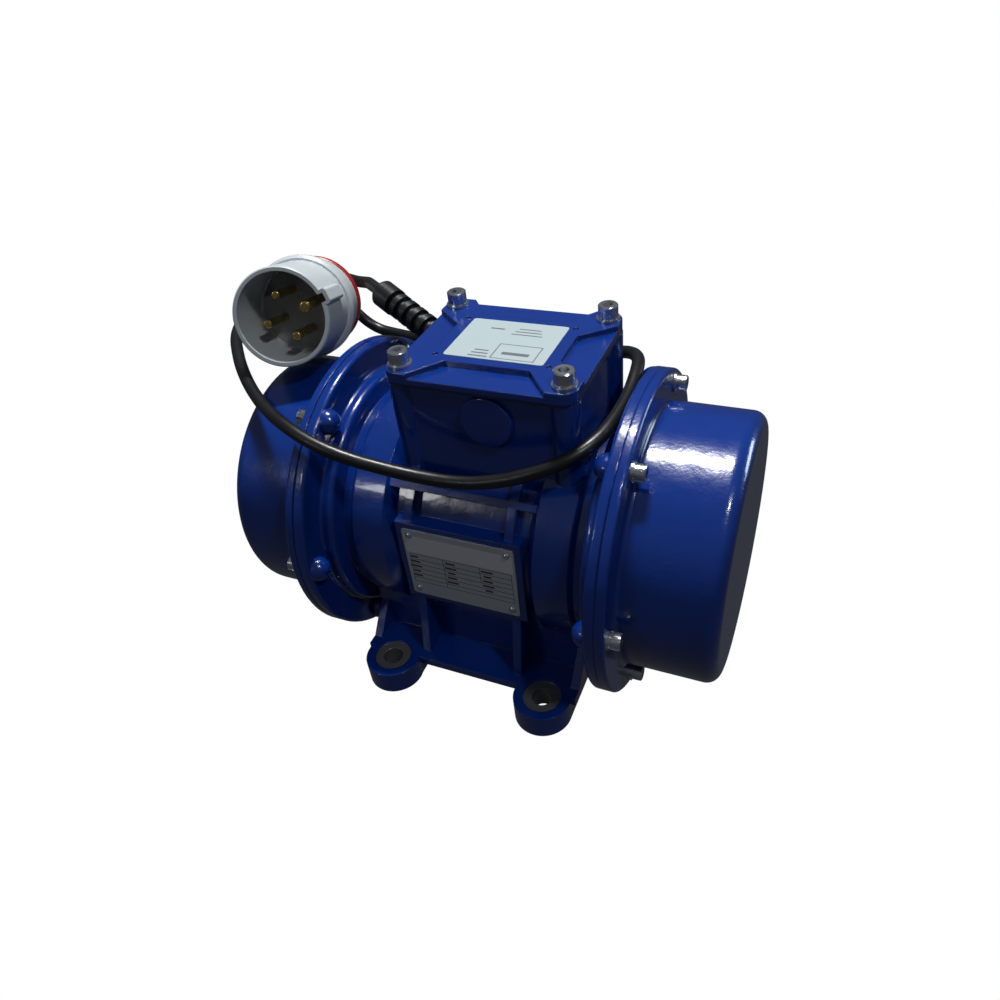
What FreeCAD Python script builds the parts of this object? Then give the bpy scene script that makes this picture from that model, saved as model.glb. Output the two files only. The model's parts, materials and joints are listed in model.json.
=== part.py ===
"""Electric vibration motor on four feet, with terminal box, eccentric weights, lead and industrial plug.

X runs along the shaft, Z is up, and the origin lies on the mounting surface under the middle of the shaft.
The front, with the rating plate, faces -Y. Lengths are in millimetres and angles in degrees.
"""
import FreeCAD, Part
import math
import os

os.makedirs("parts", exist_ok=True)
V = FreeCAD.Vector

# ---- driving dimensions -------------------------------------------------------------------------

fit = 0.05              # radial gap of a running or seated fit
turn_gap = 0.4          # gap beside a face that turns
seat_gap = 0.1          # gap round a piece that drops into a seat

# along the shaft, outwards from the middle
core_half = 40.0
winding_reach = 17.0    # end turns beyond the core
winding_gap = 6.0       # end turns to the bearing carrier
carrier_lip = 5.0       # wall that the bearing is pushed against
bearing_width = 19.0
seat_before_bearing_end = 2.5
ridge_length = 8.5      # raised ring of the housing behind each flange
flange_thick = 7.5
weight_offset = 3.5     # first weight beyond the cover joint
weight_thick = 20.0
spacer_disc = 4.0
ring_thick = 1.5
shaft_tail = 5.9        # shaft beyond the retaining ring
cover_space = 6.0       # shaft end to the inside of the cover
cover_wall = 4.0

# shaft diameters, as radii
rotor_seat_r = 17.0
bearing_seat_r = 15.0
weight_seat_r = 14.0
key_width = 6.0
key_height = 4.0
key_depth = 2.4

# radial steps, outwards from the stator
stator_r = 62.0
bore_step = 20.0        # stator bore to the wider end bores
cover_step = 5.0        # end bores to the outside of the cups
cup_to_screws = 11.0
screws_to_rim = 9.0
flange_flat = 10.5      # taken off the round of the flanges underneath
flange_clear = 3.0      # the flats stand this far above the mounting surface

# electrical parts
stator_bore = 36.0
air_gap = 0.5
slot_count = 24
slot_width = 5.0
slot_depth = 15.0
slot_lining = 0.4
winding_wall = 4.0      # end turns to the housing bore
bar_count = 20
bar_r = 2.6
bar_inset = 2.0         # bars below the rotor's surface
end_ring_length = 9.0

# cast housing
barrel_wall = 7.0
shoulder_from = 46.0
shoulder_slope = 6.0
shoulder_rise = 3.0     # shoulder above the valley beside it
valley_depth = 7.0      # bottom of the valley inside the radius of the end bores
valley_width = 10.0
ridge_wall = 5.5
rib_out = 6.5           # ribs above the barrel
rib_width = 6.0
rib_x = 35.0
long_rib_angle = 42.0
blind_boss_r = 8.5      # round bosses behind the cover screws

# feet
foot_x = 57.0
foot_y = 90.0
foot_boss_r = 19.5
foot_height = 17.4
foot_hole_r = 6.75
foot_pad_r = 13.0
foot_pad_depth = 1.2
base_half_x = 79.0
base_half_y = 86.0
base_web = 6.4
foot_inner_x = 38.0
gusset_width = 6.0
gusset_foot = 7.0       # gussets stand back from the edge of the base
gusset_top = 38.0       # outer gussets meet the barrel this high
pedestal_half_y = 60.0
pedestal_wall = 9.0

# rating plate and its pad, about a centre a little below the shaft
plate_drop = 1.5
plate_half_x = 39.0
plate_half_z = 28.5
plate_thick = 0.8
plate_corner_r = 2.0
pad_rise = 2.2          # face of the pad in front of the barrel
pad_margin = 4.5
pad_depth = 30.0
rivet_inset = 5.0
rivet_r = 2.6
rivet_shank_r = 1.3
rivet_height = 1.3
rivet_length = 5.0

# end covers
cover_edge_r = 9.0
cover_root_r = 3.0
cover_flange = 6.0
spigot_length = 2.6
spigot_wall = 4.0
seal_r = 1.6
screw_count = 6
screw_r = 3.0
screw_head_r = 5.2
screw_head = 6.6
screw_socket_r = 2.9
screw_length = 12.0
washer_r = 6.4
washer_thick = 1.6

# bearings and their carriers
bearing_r = 36.0
raceway_r = 31.0        # inside of the outer ring
inner_race_r = 21.0     # outside of the inner ring
roller_count = 12
roller_length = 12.0
cage_ring = 2.0
carrier_disc = 10.0
carrier_hub_r = 46.0
carrier_lip_r = 29.0
carrier_screw_inset = 11.0
carrier_screw_count = 6
carrier_screw_r = 2.5
carrier_screw_length = 24.0
cap_thick = 3.0
cap_gap = 2.0

# eccentric weights
weight_gap = 8.0        # rim of the weights to the inside of the cup
weight_hub_r = 24.0
weight_cut = 5.0        # sector edge below the shaft line
weight_corner_r = 8.0
spacer_disc_r = 31.0
sleeve_r = 19.0
clamp_slit = 3.0
clamp_half_y = 17.0
clamp_rise = 13.0       # clamp ears above the hub
clamp_screw_r = 4.0
clamp_head_r = 6.5
clamp_head = 8.0
clamp_socket_r = 3.4

# terminal box
box_x = 14.0
box_y = 2.6
lid_half_x = 60.0
lid_half_y = 50.5
lid_corner_r = 9.5
box_inset = 4.5         # walls stand back from the edge of the lid
box_wall = 5.0
box_rise = 10.5         # floor of the box above the barrel
box_depth = 39.3
lead_hole_x = 50.0
lead_hole_r = 6.0
gasket_thick = 1.2
lid_plate = 4.0
lid_plateau = 3.5
ledge_depth = 20.0
ledge_front_outer = 44.0
ledge_front_inner = 27.0
ledge_side_outer = 33.0
ledge_side_inner = 15.0
ledge_corner_r = 3.0
lid_screw_r = 3.0
lid_head_r = 6.2
lid_head = 8.2
lid_socket_r = 3.4
lid_washer_r = 7.4
lid_washer = 1.5
lid_screw_length = 24.0
entry_boss_x = 4.0      # blind cable entry of the front wall, from the middle of the box
entry_boss_drop = 19.0
entry_boss_r = 17.0
entry_boss_out = 3.0
label_half_x = 32.0
label_half_y = 24.0
label_thick = 0.4
label_corner_r = 2.0
pip_r = 1.6
pip_margin = 2.6

# terminals inside the box
board_half_x = 30.0
board_half_y = 17.0
board_thick = 9.0
stud_pitch_x = 18.0
stud_pitch_y = 16.0
stud_r = 2.5
stud_height = 11.0
nut_r = 4.6
nut_height = 4.0
link_thick = 1.5

# lead and its strain relief
cord_r = 4.25
boot_y = 28.4           # from the middle of the box
boot_drop = 11.3        # below the top of the box
boot_rise = 15.0        # slope of the strain relief
boot_yaw = 24.0         # its turn towards the back
boot_collar_r = 9.6
boot_collar = 16.0
boot_rib_r = 9.0
boot_core_r = 6.4
boot_ribs = 5
boot_pitch = 9.2
boot_rib = 4.4
boot_root_r = 8.0
boot_root = 4.0
boot_flange = 2.5
entry_r = 11.0
cable_boss_out = 5.2

# plug, measured back from the rim of its shroud
plug_x = 37.5           # rim beyond the joint of the left cover
plug_y = -14.0
plug_over_cover = 49.0
plug_back = V(-0.323, 0.894, -0.309)
plug_key_side = V(0.75, 0.61, 0.25)
shroud_r = 32.5
shroud_wall = 3.0
shroud_depth = 46.0
key_half = 5.0
key_out = 3.0
key_length = 32.0
key_roof = 2.5
key_wall = 2.2
plug_collar_r = 36.0
plug_collar = 7.0
plug_waist_r = 32.0
plug_body_length = 22.0
plug_wall = 4.0
plug_ring_r = 33.0
plug_ring = 7.0
plug_cap_r = 28.0
plug_cap_length = 24.0
plug_tail_r = 10.0
insert_thick = 9.0
insert_gap = 1.0        # beside the insert in the shroud
insert_notch_r = 7.0
pin_count = 4
pin_circle_r = 14.5
earth_pin_r = 4.0
phase_pin_r = 3.0
pin_length = 36.0
pin_root = 7.0

# ---- positions that follow from them -------------------------------------------------------------

winding_end = core_half + winding_reach
carrier_from = winding_end + winding_gap
bearing_from = carrier_from + carrier_lip
bearing_to = bearing_from + bearing_width
seat_x = bearing_to - seat_before_bearing_end
flange_from = seat_x + ridge_length
joint_x = flange_from + flange_thick
fixed_from = joint_x + weight_offset
fixed_to = fixed_from + weight_thick
loose_from = fixed_to + spacer_disc + turn_gap
loose_to = loose_from + weight_thick
ring_from = loose_to + turn_gap
ring_to = ring_from + ring_thick
shaft_end = ring_to + shaft_tail
cover_inner_end = shaft_end + cover_space
cover_end = cover_inner_end + cover_wall
end_bore_r = stator_r + bore_step
cover_r = end_bore_r + cover_step
screw_circle_r = cover_r + cup_to_screws
flange_r = screw_circle_r + screws_to_rim
shaft_height = flange_r - flange_flat + flange_clear
carrier_screw_circle_r = end_bore_r - carrier_screw_inset
weight_r = cover_r - cover_wall - weight_gap
barrel_r = stator_r + barrel_wall
valley_r = end_bore_r - valley_depth
shoulder_r = valley_r + shoulder_rise
rib_r = barrel_r + rib_out
ridge_r = end_bore_r + ridge_wall
pad_y = barrel_r + pad_rise
box_floor_z = shaft_height + barrel_r + box_rise
box_top_z = box_floor_z + box_depth
lid_bottom_z = box_top_z + gasket_thick
ledge_z = lid_bottom_z + lid_plate
lid_top_z = ledge_z + lid_plateau
lid_screw_x = lid_half_x - lid_corner_r + 1.0
lid_screw_y = lid_half_y - lid_corner_r - 0.5
plate_z = shaft_height - plate_drop
rotor_r = stator_bore - air_gap

made = []


def save(name, *solids):
    """Write one node, which holds one solid or a group of like solids."""
    shape = solids[0] if len(solids) == 1 else Part.makeCompound(list(solids))
    shape.exportStep("parts/%s.step" % name)
    made.append((name, shape))


def mirror_x(shape):
    return shape.mirror(V(0, 0, 0), V(1, 0, 0))


def mirror_y(shape):
    return shape.mirror(V(0, 0, 0), V(0, 1, 0))


def save_ends(name, solid):
    """The same piece at the right end, and its mirror image at the left end."""
    save("right_" + name, solid)
    save("left_" + name, mirror_x(solid))


def moved(shape, x=0.0, y=0.0, z=0.0):
    copy = shape.copy()
    copy.translate(V(x, y, z))
    return copy


def set_at(shape, placement):
    """Copy of a shape made about the origin, put where the placement says."""
    copy = shape.copy()
    copy.Placement = placement.multiply(copy.Placement)
    return copy


def turned(profile):
    """Solid of revolution about the shaft line from (x, radius) corners."""
    points = [V(x, 0, shaft_height + r) for x, r in profile]
    face = Part.Face(Part.makePolygon(points + points[:1]))
    return face.revolve(V(0, 0, shaft_height), V(1, 0, 0), 360)


def disc(x0, x1, r, y=0.0, z=0.0):
    """Cylinder along X, placed from the shaft line."""
    return Part.makeCylinder(r, x1 - x0, V(x0, y, shaft_height + z), V(1, 0, 0))


def ring(x0, x1, r_out, r_in):
    return disc(x0, x1, r_out).cut(disc(x0 - 1, x1 + 1, r_in))


def block(x0, x1, y0, y1, z0, z1):
    return Part.makeBox(x1 - x0, y1 - y0, z1 - z0, V(x0, y0, z0))


def upright(x, y, z0, z1, r):
    return Part.makeCylinder(r, z1 - z0, V(x, y, z0), V(0, 0, 1))


def about_shaft(shape, angle):
    """Copy turned about the shaft line, from +Y towards +Z."""
    copy = shape.copy()
    copy.rotate(V(0, 0, shaft_height), V(1, 0, 0), angle)
    return copy


def on_circle(make, count, radius, first=0.0):
    """Copies of a piece made at (y, z) = (radius, 0) from the shaft line, spread round it."""
    return [about_shaft(make(radius), first + 360.0 * i / count) for i in range(count)]


def under_flange():
    """Space below the flats of the flanges."""
    low = shaft_height - 2 * flange_r
    return block(-cover_end - 1, cover_end + 1, -flange_r, flange_r, low, flange_clear)


def fuse_all(shapes):
    return shapes[0].multiFuse(shapes[1:]).removeSplitter() if len(shapes) > 1 else shapes[0]


def rounded(shape, size, wanted):
    """Round the edges that the test picks, with one radius."""
    edges = [e for e in shape.Edges if wanted(e)]
    return shape.makeFillet(size, edges) if edges else shape


def circle_edge(x, r):
    """Test for a round edge about the shaft line."""
    def wanted(e):
        c = e.Curve
        return (isinstance(c, Part.Circle) and abs(abs(c.Center.x) - x) < 0.01 and abs(c.Radius - r) < 0.01
                and abs(c.Center.z - shaft_height) < 0.01 and abs(c.Center.y) < 0.01)
    return wanted


def rounded_plate(half_x, half_y, corner, z0, z1, cx=box_x, cy=box_y):
    plate = block(cx - half_x, cx + half_x, cy - half_y, cy + half_y, z0, z1)
    upright_edges = [e for e in plate.Edges if abs(e.tangentAt(e.FirstParameter).z) > 0.99]
    return plate.makeFillet(corner, upright_edges)


def lid_corners(make):
    return [make(box_x + sx * lid_screw_x, box_y + sy * lid_screw_y) for sx in (-1, 1) for sy in (-1, 1)]


def foot_corners(make):
    return [make(sx * foot_x, sy * foot_y) for sx in (-1, 1) for sy in (-1, 1)]


# ---- housing: one aluminium casting with barrel, end flanges, ribs, feet and terminal box --------

def housing_half_profile():
    shoulder_to = seat_x - valley_width
    return [
        (0, barrel_r), (shoulder_from, barrel_r), (shoulder_from + shoulder_slope, shoulder_r),
        (shoulder_to, shoulder_r), (shoulder_to + 3, valley_r), (seat_x - 1.5, valley_r),
        (seat_x, ridge_r), (flange_from, ridge_r), (flange_from, flange_r), (joint_x, flange_r),
    ]


def make_barrel():
    half = housing_half_profile()
    left = [(-x, r) for x, r in reversed(half[1:])]
    outline = [(-joint_x, 0)] + left + half + [(joint_x, 0)]
    barrel = turned(outline)
    for x, r, size in ((joint_x, flange_r, 1.2), (flange_from, flange_r, 2.5), (flange_from, ridge_r, 2.0),
                       (seat_x, ridge_r, 3.5)):
        barrel = rounded(barrel, size, circle_edge(x, r))
    return barrel.cut(under_flange())


def gusset(x, y_top, z_top):
    """Upright web from the barrel down to the edge of the base."""
    toe = base_half_y - gusset_foot
    corners = [(pedestal_half_y - 12, z_top + 12), (y_top, z_top), (toe, foot_height - 1),
               (toe, foot_height - base_web + 1), (pedestal_half_y - 12, foot_height - base_web + 1)]
    points = [V(x - gusset_width / 2, -y, z) for y, z in corners]
    return Part.Face(Part.makePolygon(points + points[:1])).extrude(V(gusset_width, 0, 0))


def make_feet():
    """Base plate on four bosses, and a pedestal up to the barrel that is open underneath."""
    web_z = foot_height - base_web
    feet = [block(-base_half_x, base_half_x, -base_half_y, base_half_y, web_z, foot_height)]
    feet += foot_corners(lambda x, y: upright(x, y, 0, foot_height, foot_boss_r))
    for sx, sy in ((-1, -1), (-1, 1), (1, -1), (1, 1)):
        x0, x1 = sorted((sx * foot_inner_x, sx * (foot_x + foot_boss_r)))
        y0, y1 = sorted((sy * (pedestal_half_y - pedestal_wall), sy * foot_y))
        feet.append(block(x0, x1, y0, y1, 0, foot_height))
    outer_x = base_half_x - gusset_width / 2
    webs = [gusset(sx * rib_x, pad_y - 1, plate_z - plate_half_z - pad_margin + 2) for sx in (-1, 1)]
    webs += [gusset(sx * outer_x, pedestal_half_y + 1, gusset_top) for sx in (-1, 1)]
    feet += webs + [mirror_y(w) for w in webs]
    feet.append(block(-base_half_x, base_half_x, -pedestal_half_y, pedestal_half_y, web_z, shaft_height))
    inner_x = base_half_x - pedestal_wall
    inner_y = pedestal_half_y - pedestal_wall
    inner = block(-inner_x, inner_x, -inner_y, inner_y, -1, shaft_height)
    return fuse_all(feet).cut(inner.cut(disc(-joint_x, joint_x, barrel_r - 1)))


def make_box():
    """Terminal box: walls, corner pillars for the screws, blind front entry and cable entry."""
    hx, hy = lid_half_x - box_inset, lid_half_y - box_inset
    foot_z = shaft_height + barrel_r * 0.6
    walls = block(box_x - hx, box_x + hx, box_y - hy, box_y + hy, foot_z, box_top_z)
    pillars = lid_corners(lambda x, y: upright(x, y, foot_z, box_top_z, lid_corner_r - 0.5))
    front = Part.makeCylinder(entry_boss_r, hy + entry_boss_out,
                              V(box_x + entry_boss_x, box_y, box_top_z - entry_boss_drop), V(0, -1, 0))
    front = rounded(front, 1.5, lambda e: isinstance(e.Curve, Part.Circle)
                    and abs(e.Curve.Center.y - (box_y - hy - entry_boss_out)) < 0.01)
    side = Part.makeCylinder(entry_r, hx + cable_boss_out, V(box_x, box_y + boot_y, box_top_z - boot_drop),
                             V(-1, 0, 0))
    return fuse_all([walls] + pillars + [front, side])


def cut_box(shape):
    """Hollow of the box, its screw holes and the ways in for the cable and the leads."""
    hx, hy = lid_half_x - box_inset - box_wall, lid_half_y - box_inset - box_wall
    hollow = block(box_x - hx, box_x + hx, box_y - hy, box_y + hy, box_floor_z, box_top_z + 1)
    for pillar in lid_corners(lambda x, y: upright(x, y, box_floor_z - 1, box_top_z + 2, lid_corner_r - 0.5)):
        hollow = hollow.cut(pillar)
    shape = shape.cut(hollow)
    depth = lid_screw_length - lid_plate - lid_plateau - gasket_thick + 4
    holes = lid_corners(lambda x, y: upright(x, y, box_top_z - depth, box_top_z + 1, lid_screw_r + fit))
    cable = Part.makeCylinder(boot_root_r + seat_gap, box_wall + cable_boss_out + 2 * box_inset,
                              V(box_x - hx + 1, box_y + boot_y, box_top_z - boot_drop), V(-1, 0, 0))
    leads = upright(lead_hole_x, box_y, shaft_height + stator_r - 4, box_floor_z + 1, lead_hole_r)
    return shape.cut(Part.makeCompound(holes + [cable, leads]))


def make_ribs():
    rings = [ring(x - rib_width / 2, x + rib_width / 2, rib_r, barrel_r - 1) for x in (-rib_x, rib_x)]
    reach = seat_x - valley_width
    bar = Part.makeBox(2 * reach, rib_r - barrel_r + 3, rib_width - 1,
                       V(-reach, barrel_r - 3, shaft_height - (rib_width - 1) / 2))
    longs = [about_shaft(bar, a) for a in (long_rib_angle, 180 - long_rib_angle)]
    return rings + longs


def plate_corners(make):
    return [make(sx * (plate_half_x - rivet_inset), plate_z + sz * (plate_half_z - rivet_inset))
            for sx in (-1, 1) for sz in (-1, 1)]


def rivet_holes():
    face_y = -pad_y - plate_thick - 1
    rivet_hole = rivet_length + plate_thick + 1
    return plate_corners(lambda x, z: Part.makeCylinder(
        rivet_shank_r + fit, rivet_hole, V(x, face_y, z), V(0, 1, 0)))


def make_housing():
    pad = block(-plate_half_x - pad_margin, plate_half_x + pad_margin, -pad_y, -pad_y + pad_depth,
                plate_z - plate_half_z - pad_margin, plate_z + plate_half_z + pad_margin)
    bosses = []
    for boss in on_circle(lambda r: Part.makeSphere(blind_boss_r, V(flange_from, r, shaft_height)),
                          screw_count, screw_circle_r):
        bosses += [boss, mirror_x(boss)]
    limit = turned([(-joint_x, 0), (-joint_x, flange_r), (joint_x, flange_r), (joint_x, 0)])
    shell = fuse_all([make_barrel(), make_feet(), make_box(), pad] + make_ribs()
                     + [b.common(limit) for b in bosses])
    shell = shell.cut(moved(pad, y=-pad_depth))
    bore = disc(-seat_x - 1, seat_x + 1, stator_r)
    ends = [disc(seat_x, joint_x + 1, end_bore_r), disc(-joint_x - 1, -seat_x, end_bore_r)]
    shell = cut_box(shell.cut(Part.makeCompound([bore] + ends)))
    holes = foot_corners(lambda x, y: upright(x, y, -1, foot_height + 1, foot_hole_r))
    holes += foot_corners(
        lambda x, y: upright(x, y, foot_height - foot_pad_depth, foot_height + 1, foot_pad_r))
    depth = screw_length - cover_flange + 3
    for r_hole, circle, count, x0, x1 in (
            (screw_r + fit, screw_circle_r, screw_count, joint_x - depth, joint_x + 1),
            (carrier_screw_r + fit, carrier_screw_circle_r, carrier_screw_count,
             seat_x - carrier_screw_length + carrier_disc - 2, seat_x + 1)):
        for hole in on_circle(lambda r: disc(x0, x1, r_hole, y=r), count, circle):
            holes += [hole, mirror_x(hole)]
    return shell.cut(Part.makeCompound(holes + rivet_holes())).removeSplitter()


housing = make_housing()
save("housing", housing)

# ---- rating plate, held by four drive rivets -----------------------------------------------------

plate = block(-plate_half_x, plate_half_x, -pad_y - plate_thick, -pad_y, plate_z - plate_half_z,
              plate_z + plate_half_z)
plate = rounded(plate, plate_corner_r, lambda e: abs(e.tangentAt(e.FirstParameter).y) > 0.99)
save("rating_plate", plate.cut(Part.makeCompound(rivet_holes())))


def make_rivet(x, z):
    face_y = -pad_y - plate_thick
    shank = Part.makeCylinder(rivet_shank_r, rivet_length, V(x, face_y, z), V(0, 1, 0))
    dome_r = rivet_r * 1.1
    head = Part.makeSphere(dome_r, V(x, face_y + dome_r - rivet_height, z))
    head = head.common(block(x - rivet_r, x + rivet_r, face_y - rivet_height - 1, face_y,
                             z - rivet_r, z + rivet_r))
    return head.fuse(shank).removeSplitter()


save("plate_rivets", *plate_corners(make_rivet))

# ---- stator: laminated core with slots, and a winding with end turns ------------------------------

slot = Part.makeBox(2 * core_half + 2, slot_depth + 2, slot_width,
                    V(-core_half - 1, stator_bore - 2, shaft_height - slot_width / 2))
slots = [about_shaft(slot, 360.0 * i / slot_count) for i in range(slot_count)]
save("stator_core", ring(-core_half, core_half, stator_r - fit, stator_bore).cut(Part.makeCompound(slots)))

bar_y = stator_bore + 2.0
wire_y = bar_y + slot_lining
wire_depth = slot_depth - 2.0 - 2 * slot_lining
wire = Part.makeBox(2 * core_half + 5, wire_depth, slot_width - 2 * slot_lining,
                    V(-core_half - 2.5, wire_y, shaft_height - slot_width / 2 + slot_lining))
wires = [about_shaft(wire, 360.0 * i / slot_count) for i in range(slot_count)]


def end_turns():
    inner, outer = bar_y, stator_r - winding_wall
    x0 = core_half + 1.0
    return turned([(x0, inner - 0.8), (winding_end - 5, inner - 0.8), (winding_end, inner + 5),
                   (winding_end, outer - 5), (winding_end - 5, outer), (x0, outer)])


coil = end_turns()
save("stator_winding", fuse_all([coil, mirror_x(coil)] + wires))

# ---- rotor: core, cast cage, shaft and keys ------------------------------------------------------

cage_circle_r = rotor_r - bar_r - bar_inset
bar_holes = on_circle(
    lambda r: disc(-core_half - 1, core_half + 1, bar_r + fit, y=r), bar_count, cage_circle_r)
rotor_core = ring(-core_half, core_half, rotor_r, rotor_seat_r + fit)
save("rotor_core", rotor_core.cut(Part.makeCompound(bar_holes)))
bars = on_circle(
    lambda r: disc(-core_half - 0.5, core_half + 0.5, bar_r, y=r), bar_count, cage_circle_r)
end_ring = ring(core_half + fit, core_half + end_ring_length, rotor_r - 0.5, rotor_r - 12)
save("rotor_cage", fuse_all([end_ring, mirror_x(end_ring)] + bars))


def key_slot(x0, x1, seat_r, side):
    """Keyway across the top of the shaft (side 1) or the bottom (side -1)."""
    z0, z1 = sorted((side * (seat_r - key_depth), side * (seat_r + 9)))
    return block(x0, x1, -key_width / 2, key_width / 2, shaft_height + z0, shaft_height + z1)


def make_key(x0, x1, seat_r):
    z0 = shaft_height + seat_r - key_depth
    side = key_width / 2 - fit
    return block(x0 + seat_gap, x1 - seat_gap, -side, side, z0 + fit, z0 + key_height)


rotor_step = core_half + end_ring_length + 4
half_shaft = [(0, rotor_seat_r), (rotor_step, rotor_seat_r), (rotor_step, rotor_seat_r + 3),
              (bearing_from, rotor_seat_r + 3), (bearing_from, bearing_seat_r),
              (fixed_from, bearing_seat_r), (fixed_from, weight_seat_r), (ring_from, weight_seat_r),
              (ring_from, weight_seat_r - 1.2), (ring_to, weight_seat_r - 1.2), (ring_to, weight_seat_r),
              (shaft_end - 1.5, weight_seat_r), (shaft_end, weight_seat_r - 1.5)]
other_half = [(-x, r) for x, r in reversed(half_shaft[1:])]
shaft = turned([(-shaft_end, 0)] + other_half + half_shaft + [(shaft_end, 0)])
key_spans = [(fixed_from + 1, fixed_to - 1), (-fixed_to + 1, -fixed_from - 1)]
shaft = shaft.cut(Part.makeCompound([key_slot(x0, x1, weight_seat_r, 1) for x0, x1 in key_spans]))
save("shaft", shaft)
save("weight_keys", *[make_key(x0, x1, weight_seat_r) for x0, x1 in key_spans])

# ---- roller bearings: outer ring, rollers in a cage, inner ring ----------------------------------

lip = (bearing_width - roller_length - turn_gap) / 2
rib_bore = raceway_r - 2
outer_ring = turned([
    (bearing_from, rib_bore), (bearing_from, bearing_r - fit),
    (bearing_to, bearing_r - fit), (bearing_to, rib_bore),
    (bearing_to - lip, rib_bore), (bearing_to - lip, raceway_r),
    (bearing_from + lip, raceway_r), (bearing_from + lip, rib_bore),
])
save_ends("bearing_outer_ring", outer_ring)
inner_ring = ring(bearing_from, bearing_to, inner_race_r, bearing_seat_r + fit)
save_ends("bearing_inner_ring", inner_ring)
roller_r = (raceway_r - inner_race_r) / 2 - fit
roller_circle_r = (raceway_r + inner_race_r) / 2
x_mid = (bearing_from + bearing_to) / 2


def roller_at(r, radius=roller_r, half=roller_length / 2):
    return disc(x_mid - half, x_mid + half, radius, y=r)


rollers = on_circle(roller_at, roller_count, roller_circle_r)
save("right_bearing_rollers", *rollers)
save("left_bearing_rollers", *[mirror_x(r) for r in rollers])
cage = ring(x_mid - roller_length / 2 - cage_ring, x_mid + roller_length / 2 + cage_ring,
            roller_circle_r + 1.6, roller_circle_r - 1.6)
pockets = on_circle(
    lambda r: roller_at(r, roller_r + 0.15, roller_length / 2 + 0.15), roller_count, roller_circle_r)
save_ends("bearing_cage", cage.cut(Part.makeCompound(pockets)))

# ---- bearing carriers, bolted into the ends of the housing ---------------------------------------

disc_to = seat_x + carrier_disc
cap_from = bearing_to + cap_gap
carrier = turned([
    (carrier_from, carrier_lip_r), (carrier_from, carrier_hub_r - 3), (carrier_from + 3, carrier_hub_r),
    (seat_x, carrier_hub_r + 3), (seat_x, end_bore_r - fit),
    (disc_to, end_bore_r - fit), (disc_to, carrier_hub_r + 2),
    (cap_from, carrier_hub_r - 2), (cap_from, bearing_r),
    (bearing_from, bearing_r), (bearing_from, carrier_lip_r),
])
carrier = carrier.cut(Part.makeCompound(on_circle(
    lambda r: disc(seat_x - 1, disc_to + 1, carrier_screw_r + 0.3, y=r),
    carrier_screw_count, carrier_screw_circle_r)))
save_ends("bearing_carrier", carrier)


def cap_screw(x_face, length, head, shank_r, head_r, socket_r):
    """Socket-head screw along X, with its head standing on the face at x_face, made at the shaft line."""
    shank = disc(x_face - length, x_face, shank_r)
    top = rounded(disc(x_face, x_face + head, head_r), min(0.6, head / 6),
                  lambda e: isinstance(e.Curve, Part.Circle) and abs(e.Curve.Center.x - x_face - head) < 0.01)
    socket = Part.Face(Part.makePolygon([V(x_face + head * 0.45, socket_r * math.cos(a), shaft_height
                       + socket_r * math.sin(a)) for a in [math.radians(60 * i) for i in range(7)]]))
    return top.fuse(shank).cut(socket.extrude(V(head, 0, 0))).removeSplitter()


carrier_screw = cap_screw(disc_to, carrier_screw_length, 4.0, carrier_screw_r, carrier_screw_r * 1.6, 2.0)
carrier_screws = on_circle(lambda r: moved(carrier_screw, y=r), carrier_screw_count, carrier_screw_circle_r)
save("carrier_screws", *(carrier_screws + [mirror_x(s) for s in carrier_screws]))

cap = turned([
    (bearing_to, sleeve_r + 12), (bearing_to, bearing_r - seat_gap), (cap_from, bearing_r - seat_gap),
    (cap_from, carrier_hub_r - 3), (cap_from + cap_thick, carrier_hub_r - 3),
    (cap_from + cap_thick, sleeve_r + 0.5), (cap_from, sleeve_r + 0.5), (cap_from, sleeve_r + 12),
])
save_ends("bearing_cap", cap)

# ---- eccentric weights: a keyed one and a clamped one at each end ---------------------------------


def weight_body(x0):
    sector = disc(x0, x0 + weight_thick, weight_r)
    sector = sector.cut(block(x0 - 1, x0 + weight_thick + 1, -weight_r - 1, weight_r + 1,
                              shaft_height - weight_cut, shaft_height + weight_r + 1))
    sector = rounded(sector, weight_corner_r, lambda e: e.Length < weight_thick + 1
                     and abs(e.tangentAt(e.FirstParameter).x) > 0.99)
    return sector.fuse(disc(x0, x0 + weight_thick, weight_hub_r)).removeSplitter()


fixed_weight = weight_body(fixed_from).cut(disc(fixed_from - 1, fixed_to + 1, weight_seat_r + fit))
key_top = shaft_height + weight_seat_r - key_depth + key_height + fit
fixed_weight = fixed_weight.cut(
    block(fixed_from - 1, fixed_to + 1, -key_width / 2, key_width / 2, shaft_height, key_top))
save_ends("fixed_weight", fixed_weight)

clamp_top = weight_hub_r + clamp_rise
clamp_z = (weight_hub_r + clamp_top) / 2 - 1.0
clamp_x = (loose_from + loose_to) / 2
ears = block(loose_from, loose_to, -clamp_half_y, clamp_half_y, shaft_height + 2, shaft_height + clamp_top)
loose_weight = weight_body(loose_from).fuse(ears).removeSplitter()
loose_weight = loose_weight.cut(disc(loose_from - 1, loose_to + 1, weight_seat_r + fit))
loose_weight = loose_weight.cut(block(loose_from - 1, loose_to + 1, -clamp_slit / 2, clamp_slit / 2,
                                      shaft_height, shaft_height + clamp_top + 1))
clamp_hole = Part.makeCylinder(clamp_screw_r + seat_gap, 2 * clamp_half_y + 2,
                               V(clamp_x, -clamp_half_y - 1, shaft_height + clamp_z), V(0, 1, 0))
save_ends("adjustable_weight", loose_weight.cut(clamp_hole))

clamp_screw = cap_screw(0, 2 * clamp_half_y - 1, clamp_head, clamp_screw_r, clamp_head_r, clamp_socket_r)
clamp_screw.translate(V(0, 0, -shaft_height))
clamp_screw.rotate(V(0, 0, 0), V(0, 0, 1), -90)
clamp_screw.translate(V(clamp_x, -clamp_half_y, shaft_height + clamp_z))
save_ends("clamp_screw", clamp_screw)

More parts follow.
